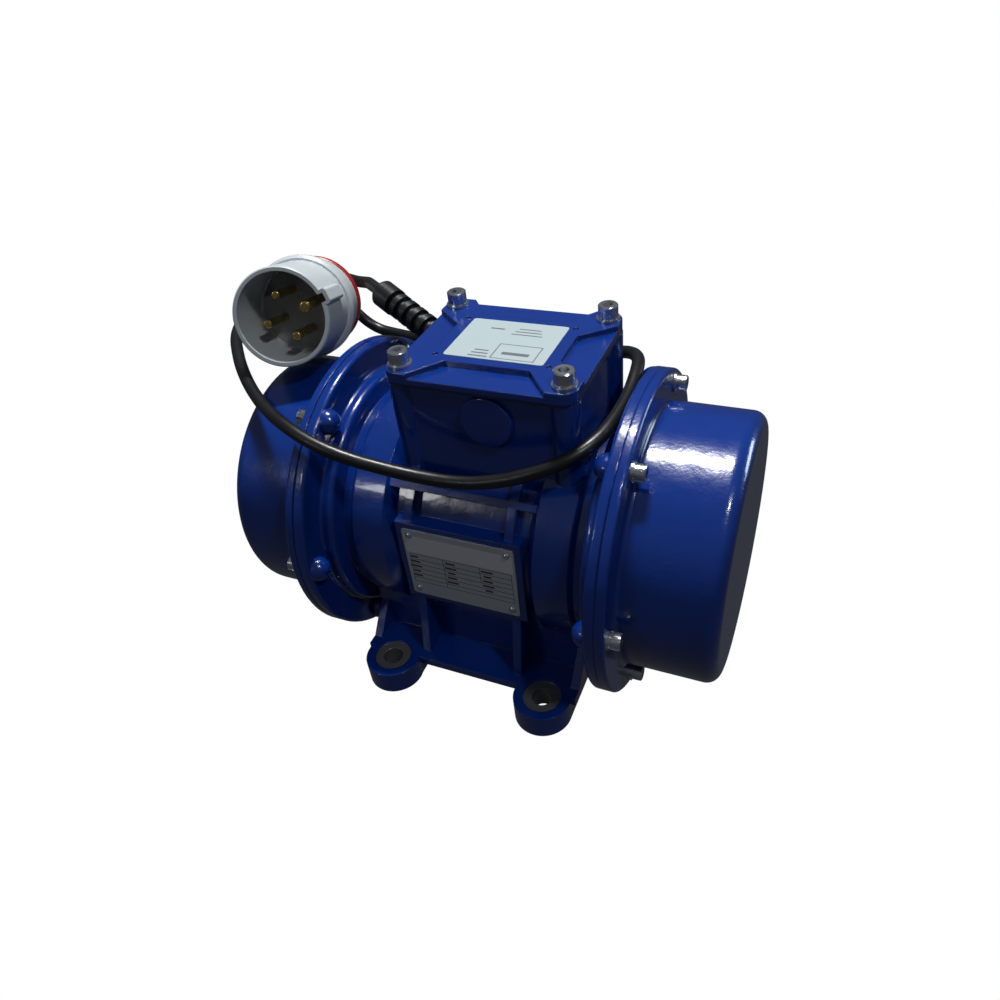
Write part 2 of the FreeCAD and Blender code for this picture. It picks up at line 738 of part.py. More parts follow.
save_ends("bearing_sleeve", ring(bearing_to, fixed_from, sleeve_r, bearing_seat_r + fit))
save_ends("setting_disc", ring(fixed_to, fixed_to + spacer_disc, spacer_disc_r, weight_seat_r + fit))
clip = ring(ring_from, ring_to, weight_seat_r + 4, weight_seat_r - 1.2 + fit)
clip = clip.cut(block(ring_from - 1, ring_to + 1, -3, 3, shaft_height, shaft_height + weight_seat_r + 6))
save_ends("retaining_ring", clip)

# ---- end covers: turned cups with a screwed flange, sealed by a ring ------------------------------

cover_face = joint_x + cover_flange
cover = turned([
    (joint_x, cover_r - cover_wall), (joint_x, flange_r), (cover_face, flange_r), (cover_face, cover_r),
    (cover_end, cover_r), (cover_end, 0), (cover_inner_end, 0), (cover_inner_end, cover_r - cover_wall),
])
cover = rounded(cover, cover_edge_r, circle_edge(cover_end, cover_r))
cover = rounded(cover, cover_edge_r - cover_wall, circle_edge(cover_inner_end, cover_r - cover_wall))
cover = rounded(cover, cover_root_r, circle_edge(cover_face, cover_r))
cover = rounded(cover, 2.0, circle_edge(cover_face, flange_r))
spigot_from, spigot_to = joint_x - spigot_length, joint_x + spigot_length
spigot = turned([
    (spigot_from, end_bore_r - spigot_wall), (spigot_from, end_bore_r - seat_gap),
    (joint_x, end_bore_r - seat_gap), (joint_x, cover_r - 1),
    (spigot_to, cover_r - 1), (spigot_to, end_bore_r - spigot_wall),
])
cover = cover.fuse(spigot).cut(under_flange()).removeSplitter()
cover = cover.cut(Part.makeCompound(on_circle(
    lambda r: disc(joint_x - 1, cover_face + 1, screw_r + 0.3, y=r), screw_count, screw_circle_r)))
save_ends("cover", cover)

seal_x = spigot_from - seal_r - seat_gap
seal = Part.makeTorus(end_bore_r - seal_r - seat_gap, seal_r, V(seal_x, 0, shaft_height), V(1, 0, 0))
save_ends("cover_seal", seal)

washer = ring(cover_face, cover_face + washer_thick, washer_r, screw_r + fit)
washers = on_circle(lambda r: moved(washer, y=r), screw_count, screw_circle_r)
save("cover_washers", *(washers + [mirror_x(w) for w in washers]))
cover_screw = cap_screw(cover_face + washer_thick, screw_length + washer_thick, screw_head,
                        screw_r, screw_head_r, screw_socket_r)
cover_screws = on_circle(lambda r: moved(cover_screw, y=r), screw_count, screw_circle_r)
save("cover_screws", *(cover_screws + [mirror_x(s) for s in cover_screws]))

# ---- terminal box: gasket, lid with raised star, screws, label ------------------------------------

gasket = rounded_plate(lid_half_x, lid_half_y, lid_corner_r, box_top_z, lid_bottom_z)
gasket = gasket.cut(rounded_plate(lid_half_x - 9, lid_half_y - 9, 2.0, box_top_z - 1, lid_bottom_z + 1))
gasket = fuse_all([gasket] + lid_corners(
    lambda x, y: upright(x, y, box_top_z, lid_bottom_z, lid_corner_r - 1)))
gasket = gasket.cut(Part.makeCompound(lid_corners(
    lambda x, y: upright(x, y, box_top_z - 1, lid_bottom_z + 1, lid_screw_r + 0.3))))
save("lid_gasket", gasket)


def ledge(inner, outer, edge):
    """Sunk trapezium along one side of the lid, drawn towards -Y about the middle of the lid."""
    points = [V(-inner, -edge + ledge_depth, ledge_z), V(inner, -edge + ledge_depth, ledge_z),
              V(outer, -edge - 1, ledge_z), V(-outer, -edge - 1, ledge_z)]
    sunk = Part.Face(Part.makePolygon(points + points[:1])).extrude(V(0, 0, lid_plateau + 1))
    return rounded(sunk, ledge_corner_r, lambda e: abs(e.tangentAt(e.FirstParameter).z) > 0.99
                   and e.CenterOfMass.y > -edge)


lid = rounded_plate(lid_half_x, lid_half_y, lid_corner_r, lid_bottom_z, lid_top_z)
lid = rounded(lid, 1.0, lambda e: abs(e.CenterOfMass.z - lid_top_z) < 0.01)
front_ledge = ledge(ledge_front_inner, ledge_front_outer, lid_half_y)
side_ledge = ledge(ledge_side_inner, ledge_side_outer, lid_half_x)
for i in range(4):
    quarter = FreeCAD.Placement(V(box_x, box_y, 0), FreeCAD.Rotation(V(0, 0, 1), 360.0 * i / 4))
    lid = lid.cut(set_at(side_ledge if i % 2 else front_ledge, quarter))
lid = lid.cut(Part.makeCompound(lid_corners(
    lambda x, y: upright(x, y, lid_bottom_z - 1, lid_top_z + 1, lid_screw_r + 0.3))))
pips = [upright(box_x + sx * (label_half_x + pip_margin + pip_r), box_y + sy * label_half_y, lid_top_z - 1.0,
                lid_top_z + 1, pip_r) for sx in (-1, 1) for sy in (-1, 1)]
save("terminal_lid", lid.cut(Part.makeCompound(pips)))
save("lid_label", rounded_plate(label_half_x, label_half_y, label_corner_r,
                                lid_top_z, lid_top_z + label_thick, box_x + 0.5, box_y))


def lid_washer_at(x, y):
    hole = upright(x, y, lid_top_z - 1, lid_top_z + lid_washer + 1, lid_screw_r + fit)
    return upright(x, y, lid_top_z, lid_top_z + lid_washer, lid_washer_r).cut(hole)


def lid_screw(x, y):
    screw = cap_screw(0, lid_screw_length, lid_head, lid_screw_r, lid_head_r, lid_socket_r)
    screw.translate(V(0, 0, -shaft_height))
    screw.rotate(V(0, 0, 0), V(0, 1, 0), -90)
    screw.translate(V(x, y, lid_top_z + lid_washer))
    return screw


save("lid_washers", *lid_corners(lid_washer_at))


save("lid_screws", *lid_corners(lid_screw))

# ---- terminal board with six studs, links and nuts ------------------------------------------------

board_z = box_floor_z
board = block(box_x - board_half_x, box_x + board_half_x, box_y - board_half_y, box_y + board_half_y,
              board_z, board_z + board_thick)
stud_spots = [(box_x + i * stud_pitch_x, box_y + j * stud_pitch_y / 2) for i in (-1, 0, 1) for j in (-1, 1)]
stud_holes = [upright(x, y, board_z + 2, board_z + board_thick + 1, stud_r + fit) for x, y in stud_spots]
save("terminal_board", board.cut(Part.makeCompound(stud_holes)))
save("terminal_studs", *[upright(x, y, board_z + 2 + fit, board_z + board_thick + stud_height, stud_r)
                         for x, y in stud_spots])
links = []
for i in (-1, 0, 1):
    link = block(box_x + i * stud_pitch_x - 4, box_x + i * stud_pitch_x + 4, box_y - stud_pitch_y / 2 - 5,
                 box_y + stud_pitch_y / 2 + 5, board_z + board_thick, board_z + board_thick + link_thick)
    for x, y in stud_spots:
        link = link.cut(upright(x, y, board_z, board_z + board_thick + stud_height, stud_r + seat_gap))
    links.append(link)
save("terminal_links", *links)


def hex_nut(x, y, z):
    corners = [V(x + nut_r * math.cos(math.radians(60 * i)), y + nut_r * math.sin(math.radians(60 * i)), z)
               for i in range(7)]
    nut = Part.Face(Part.makePolygon(corners)).extrude(V(0, 0, nut_height))
    return nut.cut(upright(x, y, z - 1, z + nut_height + 1, stud_r + fit))


save("terminal_nuts", *[hex_nut(x, y, board_z + board_thick + link_thick) for x, y in stud_spots])

# ---- strain relief: a ribbed rubber boot in the left wall of the box -------------------------------

boot_face_x = box_x - (lid_half_x - box_inset) - cable_boss_out
boot_start = V(boot_face_x, box_y + boot_y, box_top_z - boot_drop)
boot_dir = FreeCAD.Rotation(-boot_yaw, boot_rise, 0).multVec(V(-1, 0, 0))
boot_length = boot_root + boot_ribs * boot_pitch + boot_collar
boot_tip = boot_start + boot_dir * boot_length


def along_boot(t0, t1, r0, r1=None):
    start = boot_start + boot_dir * t0
    if r1 is None:
        return Part.makeCylinder(r0, t1 - t0, start, boot_dir)
    return Part.makeCone(r0, r1, t1 - t0, start, boot_dir)


collar_from = boot_length - boot_collar
boot_pieces = [
    along_boot(0, boot_length - 1, boot_core_r),
    along_boot(collar_from, boot_length - 2, boot_collar_r),
    along_boot(boot_length - 2, boot_length, boot_collar_r, boot_collar_r - 1.5),
]
for i in range(boot_ribs):
    t = boot_root + i * boot_pitch + 1.0
    boot_pieces.append(along_boot(t, t + boot_rib, boot_rib_r))
root_length = box_wall + cable_boss_out + boot_flange
inside = boot_start + V(box_wall + cable_boss_out, 0, 0)
boot_pieces.append(Part.makeCylinder(boot_root_r, root_length, inside, V(-1, 0, 0)))
boot_pieces.append(Part.makeCylinder(entry_r, boot_flange, boot_start, V(-1, 0, 0)))
cable_way = [Part.makeCylinder(cord_r + fit, root_length, inside + V(1, 0, 0), V(-1, 0, 0)),
             Part.makeSphere(cord_r + fit, boot_start), along_boot(0, boot_length + 1, cord_r + fit)]
boot = fuse_all(boot_pieces)
for way in cable_way:
    boot = boot.cut(way)
save("strain_relief", boot)

# ---- plug: shroud with key, body, coloured ring, end cap, insert and pins --------------------------

plug_front = V(-(joint_x + plug_x), plug_y, shaft_height + cover_r + plug_over_cover)
back = V(plug_back).normalize()
key_dir = (plug_key_side - back * plug_key_side.dot(back)).normalize()
plug_frame = FreeCAD.Placement(plug_front, FreeCAD.Rotation(key_dir, back.cross(key_dir), back, "ZXY"))


def placed(shape):
    """Move a plug piece, made along Z with its key towards X, to where the plug lies."""
    return set_at(shape, plug_frame)


def plug_turned(profile):
    points = [V(r, 0, t) for t, r in profile]
    return Part.Face(Part.makePolygon(points + points[:1])).revolve(V(0, 0, 0), V(0, 0, 1), 360)


shroud_in = shroud_r - shroud_wall
shroud = plug_turned([(0, shroud_in), (0, shroud_r - 0.8), (0.8, shroud_r), (shroud_depth, shroud_r),
                      (shroud_depth, shroud_in)])
key = block(shroud_in + 1, shroud_r + key_out, -key_half, key_half, 0, key_length)
key = rounded(key, 2.0, lambda e: abs(e.tangentAt(e.FirstParameter).z) > 0.99 and e.CenterOfMass.x > shroud_r)
shroud = shroud.fuse(key).removeSplitter()
key_way_half = key_half - key_wall
key_way = block(shroud_in - 4, shroud_r + key_out - key_roof, -key_way_half, key_way_half,
                -1, key_length - key_roof)
save("plug_shroud", placed(shroud.cut(key_way)))

insert_face = shroud_depth
insert_end = insert_face + insert_thick
insert_seat_r = shroud_in - insert_gap
collar_end = shroud_depth + plug_collar
body_end = collar_end + plug_body_length
plug_hollow_r = plug_waist_r - plug_wall
body = plug_turned([
    (shroud_depth, insert_seat_r), (shroud_depth, plug_collar_r - 2), (shroud_depth + 2, plug_collar_r),
    (collar_end, plug_collar_r), (collar_end + 4, plug_waist_r + 1.5), (body_end, plug_waist_r),
    (body_end, plug_hollow_r), (insert_end, plug_hollow_r), (insert_end, insert_seat_r),
])
save("plug_body", placed(body))

ring_end = body_end + plug_ring
band = plug_turned([
    (body_end, plug_hollow_r), (body_end, plug_ring_r - 0.8), (body_end + 0.8, plug_ring_r),
    (ring_end - 0.8, plug_ring_r), (ring_end, plug_ring_r - 0.8), (ring_end, plug_hollow_r),
])
save("plug_ring", placed(band))

plug_length = ring_end + plug_cap_length
end_cap = plug_turned([
    (ring_end, cord_r + fit), (ring_end, plug_cap_r), (ring_end + 5, plug_cap_r - 1),
    (plug_length - 9, plug_tail_r + 4), (plug_length - 8, plug_tail_r),
    (plug_length - 1, plug_tail_r), (plug_length, plug_tail_r - 1), (plug_length, cord_r + fit),
])
save("plug_cap", placed(end_cap))

insert_r = insert_seat_r - seat_gap
insert = plug_turned([(insert_face, 0), (insert_face, insert_r), (insert_end, insert_r), (insert_end, 0)])
pin_spots = [(360.0 * i / pin_count, phase_pin_r if i else earth_pin_r) for i in range(pin_count)]


def pin_axis(angle):
    return V(pin_circle_r * math.cos(math.radians(angle)), pin_circle_r * math.sin(math.radians(angle)), 0)


pin_holes = [Part.makeCylinder(r + fit, pin_root + 1, pin_axis(a) + V(0, 0, insert_face - 1))
             for a, r in pin_spots]
notches = [Part.makeCylinder(insert_notch_r, 5, V(shroud_in * math.cos(math.radians(a)),
           shroud_in * math.sin(math.radians(a)), insert_face - 1)) for a in (50, 235)]
save("plug_insert", placed(insert.cut(Part.makeCompound(pin_holes + notches))))


def make_pin(angle, r):
    start = pin_axis(angle) + V(0, 0, insert_face - pin_length)
    pin = Part.makeCylinder(r, pin_length + pin_root - seat_gap - 1, start)
    return placed(rounded(pin, r * 0.45, lambda e: isinstance(e.Curve, Part.Circle)
                          and abs(e.Curve.Center.z - start.z) < 0.01))


save("plug_earth_pin", make_pin(*pin_spots[0]))
save("plug_phase_pins", *[make_pin(a, r) for a, r in pin_spots[1:]])

# ---- lead: behind the plug, round the front of the box and along its back to the plug --------------

plug_tail = plug_front + back * plug_length
cord_points = [
    boot_tip - boot_dir * 12, boot_tip + boot_dir * 13,
    V(-131, 80, 219), V(-149, 93, 212.5), V(-169, 102, 211), V(-191, 103, 209), V(-212, 95, 204),
    V(-226, 78, 199), V(-230, 55, 197), V(-224, 33, 196), V(-211, 14, 197), V(-196, -3, 198),
    V(-180, -20, 197), V(-160, -38, 195), V(-137, -55, 193), V(-109, -71, 193), V(-85.5, -77.5, 188),
    V(-63, -77, 181), V(-42, -72, 174), V(-19, -68, 169), V(6, -66, 168), V(30, -65, 173),
    V(52, -62, 181), V(72, -54, 189), V(84.5, -36, 194), V(87.3, -12, 195), V(87.3, 12, 194.5),
    V(86, 34, 197), V(82, 56, 195.5), V(70, 72, 190), V(49, 76, 183), V(24, 77, 177),
    V(-3, 78, 173), V(-31, 81, 172), V(-58, 87, 170), V(-83, 98, 167), V(-109, 109, 160),
    V(-136, 119, 156), V(-163, 121, 158), V(-179, 115.5, 180),
    plug_tail + back * 14, plug_tail - back * 8,
]


def corner_arc(before, corner, after):
    """Tangent arc at a corner, as large as 0.45 of the shorter run allows, and its radius."""
    arrive = (corner - before).normalize()
    leave = (after - corner).normalize()
    reach = 0.45 * min((corner - before).Length, (after - corner).Length)
    half_turn = arrive.getAngle(leave) / 2
    radius = reach / math.tan(half_turn)
    inward = (leave - arrive).normalize()
    middle = corner + inward * (radius / math.cos(half_turn) - radius)
    return Part.Arc(corner - arrive * reach, middle, corner + leave * reach), radius


def tube(points, r):
    """Tube along straight runs joined by tangent arcs, its length and the radii of its arcs."""
    edges = []
    radii = []
    last = points[0]
    for before, corner, after in zip(points, points[1:], points[2:]):
        arc, radius = corner_arc(before, corner, after)
        edge = arc.toShape()
        edges.append(Part.LineSegment(last, edge.valueAt(edge.FirstParameter)).toShape())
        edges.append(edge)
        last = edge.valueAt(edge.LastParameter)
        radii.append(radius)
    edges.append(Part.LineSegment(last, points[-1]).toShape())
    path = Part.Wire(edges)
    start = points[0]
    section = Part.Wire(Part.Circle(start, points[1] - start, r).toShape())
    return path.makePipeShell([section], True, False), path.Length, radii


cord, cord_length, cord_radii = tube(cord_points, cord_r)
save("cord", cord)
print("cord length", round(cord_length))
print("cord volume", round(cord.Volume), "of", round(math.pi * cord_r ** 2 * cord_length))
print("cord radii", [round(r) for r in cord_radii])

for name, shape in made:
    if not shape.isValid() or len(shape.Solids) < 1:
        print("NOT VALID", name, shape.isValid(), len(shape.Solids))
print("nodes", len(made), "solids", sum(len(shape.Solids) for name, shape in made))
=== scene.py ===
"""Vibration motor: finishes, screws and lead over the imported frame, then camera and light. Metres, +Z up."""
import json
import math
import bpy
from mathutils import Matrix, Vector


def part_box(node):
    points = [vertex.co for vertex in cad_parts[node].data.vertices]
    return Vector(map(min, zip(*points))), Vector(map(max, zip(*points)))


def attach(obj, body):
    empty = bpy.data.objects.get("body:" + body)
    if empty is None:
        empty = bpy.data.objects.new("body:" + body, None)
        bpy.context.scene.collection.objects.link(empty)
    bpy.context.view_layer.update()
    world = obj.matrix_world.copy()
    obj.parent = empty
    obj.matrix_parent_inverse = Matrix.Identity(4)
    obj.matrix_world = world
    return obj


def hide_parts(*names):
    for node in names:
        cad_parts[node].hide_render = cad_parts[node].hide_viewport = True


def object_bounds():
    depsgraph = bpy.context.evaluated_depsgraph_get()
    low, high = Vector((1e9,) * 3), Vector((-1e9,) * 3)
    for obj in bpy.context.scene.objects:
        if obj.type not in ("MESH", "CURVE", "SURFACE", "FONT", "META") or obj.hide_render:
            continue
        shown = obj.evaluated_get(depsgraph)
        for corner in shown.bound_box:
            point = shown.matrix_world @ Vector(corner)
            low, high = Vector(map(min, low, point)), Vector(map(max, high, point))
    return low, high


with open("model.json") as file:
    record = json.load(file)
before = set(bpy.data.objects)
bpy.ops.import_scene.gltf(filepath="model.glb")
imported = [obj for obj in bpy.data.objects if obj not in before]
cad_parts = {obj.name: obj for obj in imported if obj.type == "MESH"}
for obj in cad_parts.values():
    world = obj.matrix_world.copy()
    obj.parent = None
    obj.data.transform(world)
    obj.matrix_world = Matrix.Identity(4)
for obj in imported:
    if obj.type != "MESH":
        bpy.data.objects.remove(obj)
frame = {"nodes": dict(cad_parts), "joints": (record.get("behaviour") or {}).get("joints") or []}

cad_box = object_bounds()

# ---- housing, end covers and terminal box lid ---------------------------------------------------------
# Iron castings under blue gloss enamel, which lies a little uneven over the sand-cast skin and rounds the
# edges. The four foot faces are spot-faced after painting and show bare metal with the cutter's rings.


def math_node(tree, operation, *values):
    node = tree.nodes.new("ShaderNodeMath")
    node.operation = operation
    for socket, value in zip(node.inputs, values):
        if isinstance(value, (int, float)):
            socket.default_value = value
        else:
            tree.links.new(value, socket)
    return node.outputs[0]


def mix_colour(tree, factor, a, b):
    node = tree.nodes.new("ShaderNodeMix")
    node.data_type = "RGBA"
    for socket, value in ((node.inputs[0], factor), (node.inputs[6], a), (node.inputs[7], b)):
        if isinstance(value, bpy.types.NodeSocket):
            tree.links.new(value, socket)
        else:
            socket.default_value = (*value, 1.0)
    return node.outputs[2]


def noise(tree, scale, detail, vector):
    node = tree.nodes.new("ShaderNodeTexNoise")
    node.inputs["Scale"].default_value = scale
    node.inputs["Detail"].default_value = detail
    tree.links.new(vector, node.inputs["Vector"])
    return node.outputs["Fac"]


def ramp(tree, value, low, high):
    """0 at low and 1 at high, where high may be the smaller."""
    node = tree.nodes.new("ShaderNodeMapRange")
    node.interpolation_type = "SMOOTHSTEP"
    node.inputs["From Min"].default_value = low
    node.inputs["From Max"].default_value = high
    tree.links.new(value, node.inputs["Value"])
    return node.outputs["Result"]


def place(tree):
    """Object coordinates, whole and as x, y and z."""
    coords = tree.nodes.new("ShaderNodeTexCoord").outputs["Object"]
    split = tree.nodes.new("ShaderNodeSeparateXYZ")
    tree.links.new(coords, split.inputs[0])
    return coords, split.outputs


# Softened edges under a skin of two grains: waves in a casting or moulding, and fine orange peel over them.
skin = bpy.data.node_groups.new("skin", "ShaderNodeTree")
for label, default in (("Waves", 0.3), ("Wave size", 60.0), ("Peel", 0.1), ("Peel size", 500.0),
                       ("Edge", 0.0)):
    socket = skin.interface.new_socket(label, in_out="INPUT", socket_type="NodeSocketFloat")
    socket.default_value = default
skin.interface.new_socket("Normal", in_out="OUTPUT", socket_type="NodeSocketVector")
skin_in = skin.nodes.new("NodeGroupInput")
skin_out = skin.nodes.new("NodeGroupOutput")
skin_coords, _ = place(skin)
soft_edge = skin.nodes.new("ShaderNodeBevel")
soft_edge.samples = 4
skin.links.new(skin_in.outputs["Edge"], soft_edge.inputs["Radius"])
last_normal = soft_edge.outputs["Normal"]
for strength, size, distance in (("Waves", "Wave size", 0.001), ("Peel", "Peel size", 0.0003)):
    grain = skin.nodes.new("ShaderNodeTexNoise")
    grain.inputs["Detail"].default_value = 2.0
    skin.links.new(skin_coords, grain.inputs["Vector"])
    skin.links.new(skin_in.outputs[size], grain.inputs["Scale"])
    bump = skin.nodes.new("ShaderNodeBump")
    bump.inputs["Distance"].default_value = distance
    skin.links.new(grain.outputs["Fac"], bump.inputs["Height"])
    skin.links.new(skin_in.outputs[strength], bump.inputs["Strength"])
    skin.links.new(last_normal, bump.inputs["Normal"])
    last_normal = bump.outputs["Normal"]
skin.links.new(last_normal, skin_out.inputs["Normal"])


def new_material(name, colour, metallic, roughness, waves, wave_size, peel, peel_size, edge=0.0):
    """Material with the skin on its normal, and roughness that varies a little over the surface."""
    material = bpy.data.materials.new(name)
    material.use_nodes = True
    tree = material.node_tree
    surface = tree.nodes["Principled BSDF"]
    surface.inputs["Base Color"].default_value = (*colour, 1.0)
    surface.inputs["Metallic"].default_value = metallic
    coords, _ = place(tree)
    wear = noise(tree, 90.0, 4.0, coords)
    spread = 0.16
    rough = math_node(tree, "MULTIPLY_ADD", wear, spread, max(0.02, roughness - spread / 2))
    tree.links.new(rough, surface.inputs["Roughness"])
    group = tree.nodes.new("ShaderNodeGroup")
    group.node_tree = skin
    for label, value in (("Waves", waves), ("Wave size", wave_size), ("Peel", peel), ("Peel size", peel_size),
                         ("Edge", edge)):
        group.inputs[label].default_value = value
    tree.links.new(group.outputs["Normal"], surface.inputs["Normal"])
    return material


def nodes_of(material):
    return material.node_tree, material.node_tree.nodes["Principled BSDF"]


nodes = frame["nodes"]


def dress(material, *names):
    """Give the material to these solids."""
    for name in names:
        nodes[name].data.materials.clear()
        nodes[name].data.materials.append(material)


blue = new_material("blue_paint", (0.004, 0.03, 0.22), metallic=0.0, roughness=0.22,
                    waves=0.5, wave_size=45.0, peel=0.3, peel_size=420.0, edge=0.0014)
tree, surface = nodes_of(blue)
coords, (x, y, z) = place(tree)
paint = mix_colour(tree, noise(tree, 14.0, 3.0, coords), (0.0008, 0.019, 0.165), (0.0014, 0.032, 0.24))
hole_x, hole_y = 0.057, 0.090
spot_face_r, foot_top, blur = 0.0129, 0.0164, 0.0002
foot_x = math_node(tree, "SUBTRACT", math_node(tree, "ABSOLUTE", x), hole_x)
foot_y = math_node(tree, "SUBTRACT", math_node(tree, "ABSOLUTE", y), hole_y)
from_hole = math_node(tree, "SQRT", math_node(tree, "ADD", math_node(tree, "POWER", foot_x, 2.0),
                                              math_node(tree, "POWER", foot_y, 2.0)))
near_hole = ramp(tree, from_hole, spot_face_r + blur, spot_face_r - blur)
low_down = ramp(tree, z, foot_top + blur / 4, foot_top - blur / 4)
machined = math_node(tree, "MULTIPLY", near_hole, low_down)
ring_density = 9000.0
rings = math_node(tree, "SINE", math_node(tree, "MULTIPLY", from_hole, ring_density))
cutter_marks = math_node(tree, "MULTIPLY_ADD", rings, 0.12, 0.5)
bare = mix_colour(tree, cutter_marks, (0.07, 0.07, 0.075), (0.20, 0.20, 0.205))
tree.links.new(mix_colour(tree, machined, paint, bare), surface.inputs["Base Color"])
tree.links.new(math_node(tree, "MULTIPLY", machined, 0.35), surface.inputs["Metallic"])
tree.links.new(math_node(tree, "MULTIPLY_ADD", machined, -0.5, 0.5), surface.inputs["Coat Weight"])
surface.inputs["Coat Roughness"].default_value = 0.05
dress(blue, "housing", "left_cover", "right_cover", "terminal_lid")

# ---- stator and rotor cores ---------------------------------------------------------------------------
# Stacks of punched core steel. The stator carries a copper winding, and the rotor a cage of cast alloy.

core_steel = new_material("core_steel", (0.25, 0.26, 0.27), metallic=1.0, roughness=0.42,
                          waves=0.1, wave_size=300.0, peel=0.2, peel_size=1200.0)
dress(core_steel, "stator_core", "rotor_core")
copper = new_material("copper_wire", (0.6, 0.22, 0.08), metallic=0.8, roughness=0.35,
                      waves=0.6, wave_size=350.0, peel=0.2, peel_size=900.0)
dress(copper, "stator_winding")
alloy = new_material("cast_alloy", (0.6, 0.61, 0.62), metallic=1.0, roughness=0.45,
                     waves=0.5, wave_size=120.0, peel=0.3, peel_size=700.0)
dress(alloy, "rotor_cage")

# ---- shaft and what is turned and ground for it -------------------------------------------------------
# Steel shaft with its keys, and for each end a sleeve, a setting disc and a retaining ring. The clamp screws
# of the weights and the screws of the bearing carriers have the same bright finish.

shaft_steel = new_material("shaft_steel", (0.55, 0.56, 0.58), metallic=1.0, roughness=0.2,
                           waves=0.05, wave_size=300.0, peel=0.1, peel_size=1500.0)
dress(shaft_steel, "shaft", "weight_keys", "carrier_screws")
for side in ("left_", "right_"):
    dress(shaft_steel, side + "bearing_sleeve", side + "setting_disc", side + "retaining_ring",
          side + "clamp_screw")

# ---- roller bearings ----------------------------------------------------------------------------------
# Hardened and polished rings and rollers, pressed in at each end, with the rollers held by a brass cage.

bearing_steel = new_material("bearing_steel", (0.7, 0.71, 0.73), metallic=1.0, roughness=0.12,
                             waves=0.0, wave_size=300.0, peel=0.05, peel_size=900.0)
brass = new_material("brass", (0.62, 0.42, 0.14), metallic=1.0, roughness=0.25,
                     waves=0.1, wave_size=300.0, peel=0.15, peel_size=900.0)
for side in ("left_", "right_"):
    dress(bearing_steel, side + "bearing_outer_ring", side + "bearing_inner_ring", side + "bearing_rollers")
    dress(brass, side + "bearing_cage")

# ---- bearing carriers, caps and unbalance weights -----------------------------------------------------
# Unpainted grey iron, turned where it seats. A fixed and an adjustable weight sit on each end of the shaft.

iron = new_material("carrier_iron", (0.2, 0.2, 0.21), metallic=1.0, roughness=0.5,
                    waves=0.4, wave_size=120.0, peel=0.4, peel_size=600.0)
for side in ("left_", "right_"):
    dress(iron, side + "bearing_carrier", side + "bearing_cap", side + "fixed_weight",
          side + "adjustable_weight")

# ---- cover seals and lid gasket -----------------------------------------------------------------------
# Soft rubber pressed between the machined faces. Its edges took paint with the castings and are dark blue.

seal_rubber = new_material("seal_rubber", (0.002, 0.008, 0.04), metallic=0.0, roughness=0.45,
                           waves=0.15, wave_size=150.0, peel=0.15, peel_size=900.0)
dress(seal_rubber, "left_cover_seal", "right_cover_seal", "lid_gasket")

# ---- terminal board with studs, links and nuts --------------------------------------------------------
# A moulded black board on the floor of the box, with turned brass studs, nuts and flat links.

board_black = new_material("board_black", (0.02, 0.02, 0.022), metallic=0.0, roughness=0.5,
                           waves=0.1, wave_size=150.0, peel=0.1, peel_size=900.0)
dress(board_black, "terminal_board")
dress(brass, "terminal_studs", "terminal_links", "terminal_nuts")

# ---- socket-head screws of the lid and covers, with their washers -------------------------------------
# Zinc-plated steel, forged with a hexagon socket and a knurl rolled round the head. Four long screws hold
# the lid and six at each end hold the covers, each on a flat washer. The plate's rivets are plated too.

zinc = new_material("zinc_steel", (0.62, 0.64, 0.66), metallic=1.0, roughness=0.24,
                    waves=0.2, wave_size=200.0, peel=0.2, peel_size=900.0)
dress(zinc, "lid_screws", "cover_screws", "lid_washers", "cover_washers", "plate_rivets")


